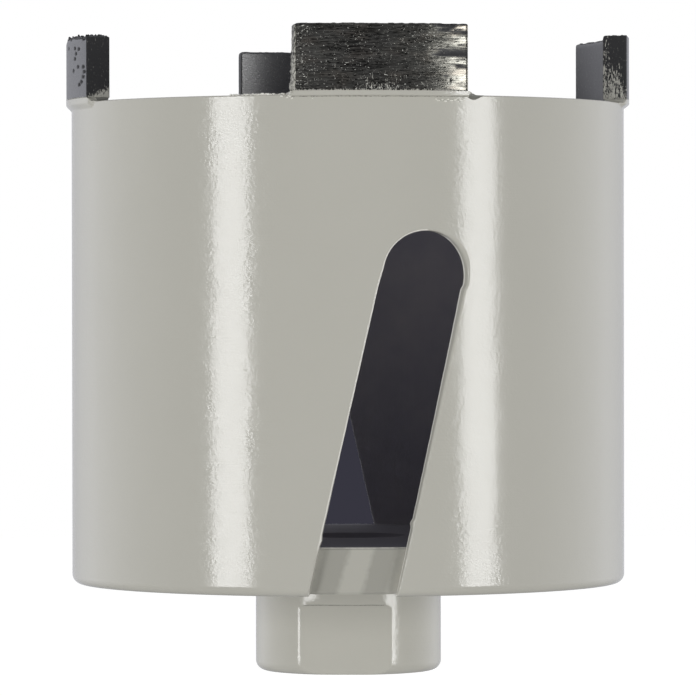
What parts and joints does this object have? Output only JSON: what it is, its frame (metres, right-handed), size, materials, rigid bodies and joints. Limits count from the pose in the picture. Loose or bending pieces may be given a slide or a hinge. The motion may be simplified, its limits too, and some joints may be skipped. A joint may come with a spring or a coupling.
{
  "type": "diamond core bit",
  "caption": "Thin-walled steel core bit with a segmented diamond cutting ring, slanted dust slots in the barrel, and a short threaded hub with spanner flats.",
  "frame": {"origin": "middle of the hub's flat end face, on the bit's axis, where the bit stands", "axes": "+Z runs along the bit's axis from the hub to the cutting end; -Y is the front, where one slot and one spanner flat face"},
  "size_m": [0.082, 0.082, 0.0922],
  "materials": {
    "grey_paint": "satin light grey paint with a fine orange peel",
    "diamond_metal": "dark sintered metal with open diamond grit, ground along the cut"
  },
  "bodies": {
    "root": {"barrel_tube": "grey_paint", "back_plate": "grey_paint", "threaded_hub": "grey_paint", "diamond_segment_1": "diamond_metal", "diamond_segment_2": "diamond_metal", "diamond_segment_3": "diamond_metal", "diamond_segment_4": "diamond_metal", "segment_foot_1": "grey_paint", "segment_foot_2": "grey_paint", "segment_foot_3": "grey_paint", "segment_foot_4": "grey_paint"}
  },
  "joints": []
}
